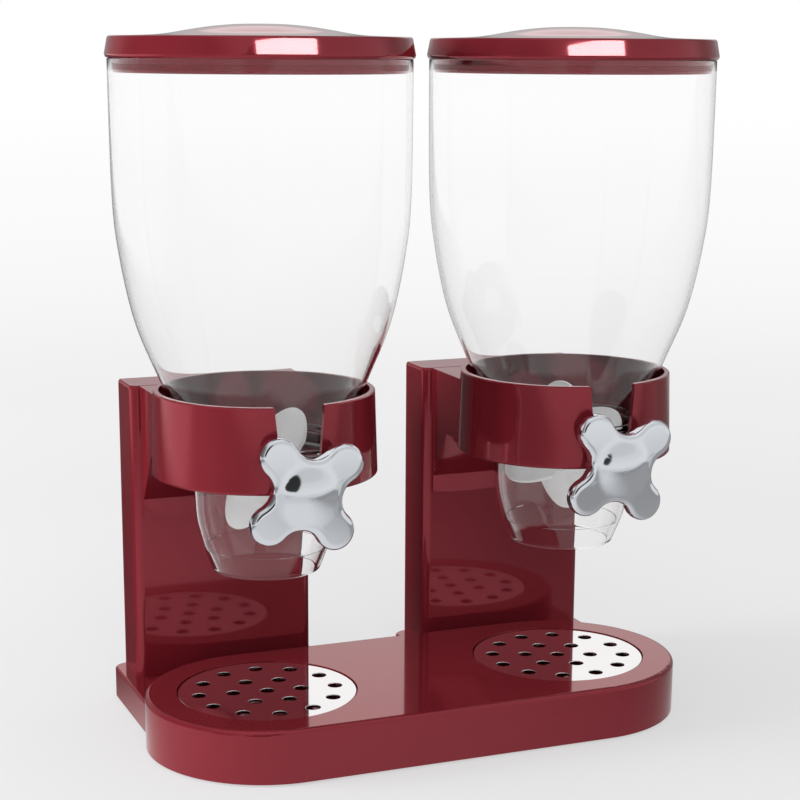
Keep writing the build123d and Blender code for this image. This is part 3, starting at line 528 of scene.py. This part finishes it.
def add_camera():
    """The camera that took the photo, as fitted to it."""
    back = Vector((math.sin(CAMERA_TURN) * math.cos(CAMERA_DOWN),
                   -math.cos(CAMERA_TURN) * math.cos(CAMERA_DOWN), math.sin(CAMERA_DOWN)))
    side = Vector((math.cos(CAMERA_TURN), math.sin(CAMERA_TURN), 0))
    up = back.cross(side)
    right = side * math.cos(CAMERA_ROLL) + up * math.sin(CAMERA_ROLL)
    up = back.cross(right)
    bpy.ops.object.camera_add(location=CAMERA_PLACE)
    camera = bpy.context.object
    camera.name = "camera"
    camera.data.lens = CAMERA_LENS
    camera.data.sensor_width = CAMERA_SENSOR
    camera.data.shift_y = CAMERA_SHIFT
    camera.data.clip_end = CAMERA_REACH
    camera.matrix_world = Matrix.Translation(CAMERA_PLACE) @ Matrix(
        (right, up, back)).transposed().to_4x4()
    bpy.context.scene.camera = camera


def add_lamp(name, place, aim, size, power, mirrored):
    """A soft box of a width and a height: it lights surfaces, or only shows in the gloss."""
    bpy.ops.object.light_add(type="AREA", location=place)
    lamp = bpy.context.object
    lamp.name = name
    lamp.data.energy = power
    lamp.data.shape = "RECTANGLE"
    lamp.data.size, lamp.data.size_y = size
    lamp.visible_camera = False
    lamp.visible_diffuse = not mirrored
    lamp.visible_glossy = mirrored
    lamp.visible_transmission = False
    lamp.rotation_euler = (Vector(aim) - Vector(place)).to_track_quat("-Z", "Y").to_euler()
    return lamp


def background_seen(tree):
    """1 for rays that show the background, and 1 for those of them that a surface mirrors."""
    rays = tree.nodes.new("ShaderNodeLightPath")
    through = rays.outputs["Is Transmission Ray"]
    seen = reckoned(tree, "MAXIMUM", rays.outputs["Is Camera Ray"], rays.outputs["Is Glossy Ray"])
    mirrored = reckoned(tree, "GREATER_THAN", rays.outputs["Is Glossy Ray"], through)
    return reckoned(tree, "MAXIMUM", seen, through), mirrored


def two_fades(tree, operation, parts, fades):
    """A fade along X and one along Y, put together by an operation."""
    along_x, along_y = fades
    return reckoned(tree, operation, ranged(tree, parts.outputs["X"], *along_x, smooth=True),
                    ranged(tree, parts.outputs["Y"], *along_y, smooth=True))


def dot(tree, direction, axis):
    """How far a direction points along an axis."""
    node = tree.nodes.new("ShaderNodeVectorMath")
    node.operation = "DOT_PRODUCT"
    tree.links.new(direction, node.inputs[0])
    node.inputs[1].default_value = axis
    return node.outputs["Value"]


def patch(tree, direction, place):
    """Sum of squares that is below 1 inside an oval patch of the sky."""
    towards, length, width, slant = place
    towards = Vector(towards).normalized()
    level = Vector((0, 0, 1)).cross(towards).normalized()
    upright = towards.cross(level)
    slant = math.radians(slant)
    along = level * math.cos(slant) + upright * math.sin(slant)
    across = towards.cross(along)
    parts = []
    for axis, reach in ((along, length), (across, width)):
        part = reckoned(tree, "DIVIDE", dot(tree, direction, axis), math.sin(math.radians(reach)))
        parts.append(reckoned(tree, "MULTIPLY", part, part))
    return reckoned(tree, "ADD", *parts)


def studio_world():
    """Even light, a white backdrop, and the darker room that gloss shows."""
    world = bpy.data.worlds.new("studio")
    bpy.context.scene.world = world
    world.use_nodes = True
    tree = world.node_tree
    tree.nodes.clear()
    out = tree.nodes.new("ShaderNodeOutputWorld")
    place = tree.nodes.new("ShaderNodeTexCoord")
    direction = place.outputs["Generated"]
    parts = tree.nodes.new("ShaderNodeSeparateXYZ")
    tree.links.new(direction, parts.inputs[0])
    mirrored = grey_ramp(tree, parts.outputs["Z"], MIRRORED_SKY)
    card = ranged(tree, patch(tree, direction, CARD), *CARD_EDGE, smooth=True)
    left = ranged(tree, parts.outputs["X"], *SKY_LEFT, smooth=True)
    behind = ranged(tree, parts.outputs["Y"], *SKY_BEHIND, smooth=True)
    for share in (card, left, behind):
        mirrored = mixed_colour(tree, share, BLACK, mirrored)
    back = grey_ramp(tree, parts.outputs["Z"], MIRRORED_BACK)
    mirrored = mixed_colour(tree, two_fades(tree, "MULTIPLY", parts, BACK_RIGHT), mirrored, back)
    seen, glossy = background_seen(tree)
    light = tree.nodes.new("ShaderNodeBackground")
    light.inputs["Strength"].default_value = EVEN_LIGHT
    light.inputs["Color"].default_value = WHITE
    shown = tree.nodes.new("ShaderNodeBackground")
    tree.links.new(mixed_colour(tree, glossy, WHITE, mirrored), shown.inputs["Color"])
    mix = tree.nodes.new("ShaderNodeMixShader")
    tree.links.new(seen, mix.inputs[0])
    tree.links.new(light.outputs[0], mix.inputs[1])
    tree.links.new(shown.outputs[0], mix.inputs[2])
    tree.links.new(mix.outputs[0], out.inputs["Surface"])


def studio_floor():
    """Large pale floor that grows white with distance and keeps a soft shadow."""
    begin()
    bpy.ops.mesh.primitive_circle_add(vertices=FLOOR_FACES, radius=FLOOR_RADIUS, fill_type="NGON")
    floor = bpy.context.object
    floor.name = "floor"
    material, tree, shader = new_material("floor")
    shader.inputs["Base Color"].default_value = tuple(colours().floor)
    shader.inputs["Roughness"].default_value = FLOOR_ROUGH
    shader.inputs["Specular IOR Level"].default_value = 0.0
    place = tree.nodes.new("ShaderNodeTexCoord")
    length = tree.nodes.new("ShaderNodeVectorMath")
    length.operation = "LENGTH"
    tree.links.new(place.outputs["Object"], length.inputs[0])
    radius = length.outputs["Value"]
    near_to_far = reckoned(tree, "DIVIDE", radius, reckoned(tree, "ADD", radius, 1.0))
    backdrop = grey_ramp(tree, near_to_far, BACKDROP)
    parts = tree.nodes.new("ShaderNodeSeparateXYZ")
    tree.links.new(place.outputs["Object"], parts.inputs[0])
    front_to_back = ranged(tree, parts.outputs["Y"], *FLOOR_STRETCH)
    mirrored = grey_ramp(tree, front_to_back, MIRRORED_FLOOR)
    for darker in (BACK_LEFT, FAR_LEFT, NEAR_RIGHT):
        share = two_fades(tree, "MAXIMUM", parts, darker)
        mirrored = mixed_colour(tree, share, BLACK, mirrored)
    strip = two_fades(tree, "MULTIPLY", parts, STRIP)
    mirrored = mixed_colour(tree, strip, mirrored, STRIP_COLOUR)
    seen, glossy = background_seen(tree)
    shown = tree.nodes.new("ShaderNodeEmission")
    tree.links.new(mixed_colour(tree, glossy, backdrop, mirrored), shown.inputs["Color"])
    plain = ranged(tree, radius, *FLOOR_SHADING_OUT, smooth=True)
    share = reckoned(tree, "MULTIPLY", seen, reckoned(tree, "MAXIMUM", plain, glossy))
    mix = tree.nodes.new("ShaderNodeMixShader")
    out = next(n for n in tree.nodes if n.type == "OUTPUT_MATERIAL")
    tree.links.new(share, mix.inputs[0])
    tree.links.new(shader.outputs[0], mix.inputs[1])
    tree.links.new(shown.outputs[0], mix.inputs[2])
    tree.links.new(mix.outputs[0], out.inputs["Surface"])
    floor.data.materials.append(material)


class DISPENSER_OT_stage(bpy.types.Operator):
    """Adds the floor, the light and the camera"""

    bl_idname = "dispenser.stage"
    bl_label = "Stage"

    def execute(self, context):
        context.scene.view_settings.view_transform = "Standard"
        begin()
        add_camera()
        studio_world()
        studio_floor()
        for lamp in LAMPS:
            add_lamp(*lamp, mirrored=False)
        window = add_lamp(*WINDOW, mirrored=True)
        window.data.color = WINDOW_COLOUR
        window.light_linking.receiver_collection = bpy.data.collections.new(WINDOW_SHOWS_IN)
        return {"FINISHED"}


# Stand, trays, housings and rotors keep their CAD shapes

class DISPENSER_OT_stand(bpy.types.Operator):
    """Finishes the base, the columns, the collars and what is fixed to them"""

    bl_idname = "dispenser.stand"
    bl_label = "Stand"

    def execute(self, context):
        dress("base_shell", "base_plate", "base_feet", "base_plate_screws")
        dress_pairs("column_shell", "column_cover", "column_cover_screws", "column_foot_screws",
                    "collar", "collar_screws")
        return {"FINISHED"}


class DISPENSER_OT_trays(bpy.types.Operator):
    """Plates the perforated drip trays"""

    bl_idname = "dispenser.trays"
    bl_label = "Drip trays"

    def execute(self, context):
        dress_pairs("tray")
        return {"FINISHED"}


class DISPENSER_OT_housings(bpy.types.Operator):
    """Finishes the clear dispensing housings, their gaskets and bushes"""

    bl_idname = "dispenser.housings"
    bl_label = "Housings"

    def execute(self, context):
        dress_pairs("housing", "neck_gasket", "front_bush", "rear_bush")
        return {"FINISHED"}


class DISPENSER_OT_rotors(bpy.types.Operator):
    """Finishes the paddle wheels and their shafts"""

    bl_idname = "dispenser.rotors"
    bl_label = "Paddle wheels"

    def execute(self, context):
        dress_pairs("paddle_wheel", "drive_shaft", "shaft_clip")
        return {"FINISHED"}


# Hoppers

HOPPER_FACES = 160
HOPPER_STEPS = 7               # points between two turns of the line
NECK_STRAIGHT = 8.8 * MM
NECK_LEAD = 0.6 * MM           # straight start of the curve, so that it leaves the neck upright
HOPPER_EDGE = 0.7 * MM         # rounding of the rim
# Turns of the wall: shares of the way out from the neck, and up from its straight part
HOPPER_SHARES = ((0.123, 0.054), (0.407, 0.181), (0.711, 0.326), (0.904, 0.498), (0.983, 0.656))


def hopper_profile():
    """Outer line from the neck to the rim, over the rounded rim and down the inside."""
    neck, wall = sizes().neck, sizes().wall
    rim = (HOPPER_HIGH.x - HOPPER_LOW.x) / 2
    top = HOPPER_HIGH.z
    foot = HOPPER_LOW.z + NECK_STRAIGHT
    turns = [(neck, foot - NECK_LEAD), (neck, foot)]
    turns += [(neck + (rim - neck) * out, foot + (top - foot) * up) for out, up in HOPPER_SHARES]
    turns.append((rim, top - HOPPER_EDGE))
    outer = smooth_line(turns, HOPPER_STEPS)
    inner = wall_of(outer, -wall)
    inner[0] = Vector((neck - wall, inner[0].y))
    inner[-1] = Vector((rim - wall, outer[-1].y))
    middle = (rim - wall / 2, top)
    edge = round_corner(outer[-1], (rim, top), middle, HOPPER_EDGE)
    edge += round_corner(middle, (rim - wall, top), inner[-1], HOPPER_EDGE)
    low = [Vector((neck - wall, HOPPER_LOW.z)), Vector((neck, HOPPER_LOW.z))]
    return outer + edge + inner[::-1] + low + [outer[0]]


class DISPENSER_OT_hoppers(bpy.types.Operator):
    """Turns the clear hoppers"""

    bl_idname = "dispenser.hoppers"
    bl_label = "Hoppers"

    def execute(self, context):
        hopper = lathe([tuple(p) for p in hopper_profile()], HOPPER_FACES)
        smooth(hopper, degrees=35)
        for piece, side in pair_of(hopper):
            finish_piece(piece, f"{side}_clear_hopper", f"{side}_hopper_unit", f"{side}_hopper")
        return {"FINISHED"}


# Lids

LID_FACES = 160
LID_STEPS = 6                  # points between two turns of the crown's line
LID_WALL = 2.2 * MM
RIM_TUCK = 0.7 * MM            # the rim's lower edge, in from its widest line
RIM_SKIRT = 9.9 * MM           # widest line to the shoulder
RIM_TAPER = 2.0 * MM
SHOULDER_DROP = 7.4 * MM       # shoulder under the top of the dome
SHOULDER_RISE = 0.4 * MM       # corner that the shoulder's rounding cuts off
DOME_SHARE = 0.66              # dome's radius to the shoulder's
SEAT_GAP = 0.1 * MM            # between the rim and the hopper
SKIRT_IN = 0.5 * MM            # skirt behind the seal's widest line
GROOVE_DEPTH = 1.2 * MM        # groove that holds the seal
# Turns of the crown: shares of the dome's radius, and millimetres under the top or the dome's foot
CROWN_TOP = ((0.25, 0.3), (0.45, 1.2), (0.6, 2.3), (0.74, 3.6))
CROWN_FOOT = ((0.88, 0.2), (1.03, 1.3), (1.22, 1.8))
CROWN_END = (3.0 * MM, 0.5 * MM)          # in from the shoulder, and above it
SLOPE_BELOW = 1.4 * MM                    # underside at the skirt, below the shoulder
DOME_BELOW = (0.5, 1.3 * MM)              # share of the dome's radius, and drop of the underside there
LID_CORNERS = (1.3, 0.8, 0.3, 0.3, 0, 0, 0, 0, 0.5, 0.4, 1, 4, 4)     # radii in millimetres


def lid_profile():
    """From the crown over the dome, the slope, the rim and the skirt, and back under the lid."""
    top = LID_HIGH.z
    rim = (LID_HIGH.x - LID_LOW.x) / 2
    seat = HOPPER_HIGH.z + SEAT_GAP
    shoulder = rim - RIM_TAPER
    shoulder_z = top - SHOULDER_DROP
    dome = shoulder * DOME_SHARE
    foot_z = top - sizes().lid_dome
    skirt = (SEAL_HIGH.x - SEAL_LOW.x) / 2 - SKIRT_IN
    groove = skirt - GROOVE_DEPTH
    crown = [(POLE, top)]
    crown += [(dome * share, top - drop * MM) for share, drop in CROWN_TOP]
    crown += [(dome * share, foot_z - drop * MM) for share, drop in CROWN_FOOT]
    crown.append((shoulder - CROWN_END[0], shoulder_z + CROWN_END[1]))
    line = smooth_line(crown, LID_STEPS)[:-1]
    edge = [(shoulder, shoulder_z + SHOULDER_RISE), (rim, shoulder_z - RIM_SKIRT),
            (rim - RIM_TUCK, seat), (skirt, seat), (skirt, SEAL_HIGH.z), (groove, SEAL_HIGH.z),
            (groove, SEAL_LOW.z), (skirt, SEAL_LOW.z), (skirt, LID_LOW.z)]
    inside = [(skirt - LID_WALL, LID_LOW.z), (skirt - LID_WALL, shoulder_z - SLOPE_BELOW),
              (dome, foot_z - LID_WALL), (dome * DOME_BELOW[0], top - LID_WALL - DOME_BELOW[1]),
              (POLE, top - LID_WALL)]
    corners = [radius * MM for radius in LID_CORNERS]
    return line + rounded([line[-1], *edge, *inside], corners)[1:]


class DISPENSER_OT_lids(bpy.types.Operator):
    """Turns the lids with their low domes and seals them"""

    bl_idname = "dispenser.lids"
    bl_label = "Lids"

    def execute(self, context):
        lid = lathe([tuple(p) for p in lid_profile()], LID_FACES)
        close_poles(lid)
        smooth(lid, degrees=40)
        for piece, side in pair_of(lid):
            finish_piece(piece, f"{side}_domed_lid", f"{side}_lid_unit", f"{side}_lid")
            bpy.data.collections[WINDOW_SHOWS_IN].objects.link(piece)
        dress_pairs("lid_seal")
        return {"FINISHED"}


# Knobs

KNOB_FACES = 144               # vertices round one ring of a knob
FACE_RINGS, EDGE_RINGS = 30, 9
KNOB_THICK = 9.0 * MM
DOME_FRONT = 14.5 * MM                           # front of the CAD's dome, from the lobes' back
KNOB_BACK = AXIS_Y - KNOB_LOW.y - DOME_FRONT     # back of the lobes, in front of the hopper axis
KNOB_TURN = math.radians(-8.5)
EDGE_IN, EDGE_DROP = 4.0 * MM, 2.8 * MM          # rounding of the front edge
CROWN = 1.5 * MM                                 # how much the tips lie behind the middle
DOME_CURVE = 33.0 * MM                           # radius of the dome's ball
DOME_REACH = 20.0 * MM                           # the ball is used up to this radius
DOME_BLEND = 1.2 * MM                            # softness of the dome's edge
BOSS_RADIUS = 8.0 * MM
BOSS_LENGTH = 14.0 * MM
BORE_RADIUS = 3.6 * MM
BORE_END = 5.0 * MM
BORE_TIP = 0.1 * MM                              # height of the cone that ends the bore
# Lip of the hollow back, in millimetres: in from the outline, and up from the lobes' back
LIP = ((0, 1.4), (0.1, 0.9), (0.35, 0.4), (0.9, 0.05), (1.4, 0.0), (2.3, 0.0),
       (2.4, 0.15), (2.4, 4.2), (2.9, 4.9), (3.8, 5.2))
# Roof of the hollow back: height, gap to the boss, and how much of the lip each ring keeps
ROOF, ROOF_GAP = 5.3 * MM, 0.8 * MM
ROOF_SHARES = (0.75, 0.5, 0.25, 0.0)
# Boss and bore, in millimetres: out from the radius, and up from the lobes' back or the boss's end
BOSS_ROOT = ((0.2, 4.9), (0, 4.2))
BOSS_TIP = ((0, 0.8), (-0.2, 0.2), (-0.8, 0))
BORE_MOUTH = ((0.6, 0), (0.1, 0.4), (0, 1))
# Plain stack of rings that is moved into the knob's shape
STACK_RADIUS, STACK_STEP = 20 * MM, 1 * MM


def lobe_outline(inset):
    """Knob's outline as a list of points, moved in by inset: round tips and hollow flanks."""
    reach, tip, valley = sizes().lobe_reach, sizes().lobe_radius, sizes().valley
    slope = math.cos(math.pi / 4)
    far = (reach ** 2 - (tip - valley) ** 2) / (2 * (reach * slope + tip - valley))
    hollow = far - valley
    joint = Vector((reach, 0)) + (Vector((far * slope, far * slope)) - Vector((reach, 0))) * (
        tip / (tip + hollow))
    change = math.atan2(joint.y, joint.x)
    points = []
    for i in range(KNOB_FACES):
        angle = 2 * math.pi * i / KNOB_FACES
        quarter = (angle + math.pi / 4) % (math.pi / 2) - math.pi / 4
        if abs(quarter) < change:
            centre, radius, sign, offset, moved = reach, tip, 1, quarter, tip - inset
        else:
            offset = quarter - math.copysign(math.pi / 4, quarter)
            centre, radius, sign, moved = far, hollow, -1, hollow + inset
        across = centre * math.sin(offset)
        distance = centre * math.cos(offset) + sign * math.sqrt(max(0.0, radius ** 2 - across ** 2))
        middle = Vector((centre, 0))
        point = Vector((distance * math.cos(offset), distance * math.sin(offset)))
        point = middle + (point - middle) * (moved / radius)
        turn = Matrix.Rotation(angle - offset, 2)
        points.append(turn @ point)
    return points


def knob_face(point):
    """Height of the knob's face: a low ball dome in the middle of slightly crowned lobes."""
    reach = sizes().lobe_reach + sizes().lobe_radius
    radius = point.length
    ball = math.sqrt(DOME_CURVE ** 2 - min(radius, DOME_REACH) ** 2)
    over = ball - math.sqrt(DOME_CURVE ** 2 - sizes().knob_dome ** 2)
    dome = (over + math.hypot(over, DOME_BLEND)) / 2
    return KNOB_THICK - CROWN * (radius / reach) ** 2 + dome


def knob_rings():
    """Rings of (x, y, height) from the crown over the edge and round into the hollow back."""
    angles = [2 * math.pi * i / KNOB_FACES for i in range(KNOB_FACES)]
    circle = [Vector((math.cos(a), math.sin(a))) for a in angles]
    rings = []
    edge = lobe_outline(EDGE_IN)
    for k in range(1, FACE_RINGS + 1):
        line = [p * k / FACE_RINGS for p in edge]
        rings.append([(*p, knob_face(p)) for p in line])
    for k in range(1, EDGE_RINGS + 1):
        bend = math.pi / 2 * k / EDGE_RINGS
        line = lobe_outline(EDGE_IN * (1 - math.sin(bend)))
        rings.append([(*p, knob_face(e) - EDGE_DROP * (1 - math.cos(bend))) for p, e in zip(line, edge)])
    for inset, height in LIP:
        line = lobe_outline(inset * MM)
        rings.append([(*p, height * MM) for p in line])
    roof_end = BOSS_RADIUS + ROOF_GAP
    for share in ROOF_SHARES:
        rings.append([(*(p * share + c * roof_end * (1 - share)), ROOF)
                      for p, c in zip(line, circle)])
    boss = [(BOSS_RADIUS + out * MM, up * MM) for out, up in BOSS_ROOT]
    boss += [(BOSS_RADIUS + out * MM, up * MM - BOSS_LENGTH) for out, up in BOSS_TIP]
    boss += [(BORE_RADIUS + out * MM, up * MM - BOSS_LENGTH) for out, up in BORE_MOUTH]
    boss += [(BORE_RADIUS, BORE_END), (POLE, BORE_END + BORE_TIP)]
    for radius, height in boss:
        rings.append([(*(c * radius), height) for c in circle])
    return rings


class DISPENSER_OT_knobs(bpy.types.Operator):
    """Models the lobed knobs, domed in front and hollow behind"""

    bl_idname = "dispenser.knobs"
    bl_label = "Knobs"

    def execute(self, context):
        rings = knob_rings()
        knob = lathe([(STACK_RADIUS, k * STACK_STEP) for k in range(len(rings))], KNOB_FACES)
        turn = Matrix.Rotation(KNOB_TURN + math.pi / 4, 4, "Z")
        to_front = Matrix.Translation((-AXIS_X, AXIS_Y - KNOB_BACK, SHAFT_Z)) @ Matrix.Rotation(
            math.pi / 2, 4, "X")
        step = 2 * math.pi / KNOB_FACES
        back = knob.matrix_world.inverted()
        for vertex in knob.data.vertices:
            place = knob.matrix_world @ vertex.co
            angle = math.atan2(place.y - AXIS_Y, place.x + AXIS_X)
            spot = rings[round(place.z / STACK_STEP)][round(angle / step) % KNOB_FACES]
            vertex.co = back @ (to_front @ turn @ Vector(spot))
        close_poles(knob)
        smooth(knob, degrees=50)
        for piece, side in pair_of(knob):
            finish_piece(piece, f"{side}_lobed_knob", f"{side}_rotor", f"{side}_knob")
        return {"FINISHED"}


STEPS = (DISPENSER_OT_stage, DISPENSER_OT_stand, DISPENSER_OT_trays, DISPENSER_OT_housings,
         DISPENSER_OT_rotors, DISPENSER_OT_hoppers, DISPENSER_OT_lids, DISPENSER_OT_knobs)


class DISPENSER_PT_tools(bpy.types.Panel):
    """Lists the sizes, the colours and the steps"""

    bl_idname = "DISPENSER_PT_tools"
    bl_label = "Dispenser"
    bl_space_type = "VIEW_3D"
    bl_region_type = "UI"
    bl_category = "Dispenser"

    def draw(self, context):
        for group in (context.scene.dispenser_sizes, context.scene.dispenser_colours):
            for name in group.__annotations__:
                self.layout.prop(group, name)
        for step in STEPS:
            self.layout.operator(step.bl_idname)


CLASSES = (DispenserSizes, DispenserColours, *STEPS, DISPENSER_PT_tools)


def register():
    for cls in CLASSES:
        bpy.utils.register_class(cls)
    bpy.types.Scene.dispenser_sizes = bpy.props.PointerProperty(type=DispenserSizes)
    bpy.types.Scene.dispenser_colours = bpy.props.PointerProperty(type=DispenserColours)


def unregister():
    del bpy.types.Scene.dispenser_colours
    del bpy.types.Scene.dispenser_sizes
    for cls in reversed(CLASSES):
        bpy.utils.unregister_class(cls)


def main():
    register()
    bpy.ops.dispenser.stage()
    bpy.ops.dispenser.stand()
    bpy.ops.dispenser.trays()
    bpy.ops.dispenser.housings()
    bpy.ops.dispenser.rotors()
    bpy.ops.dispenser.hoppers()
    bpy.ops.dispenser.lids()
    bpy.ops.dispenser.knobs()


if __name__ == "__main__":
    main()
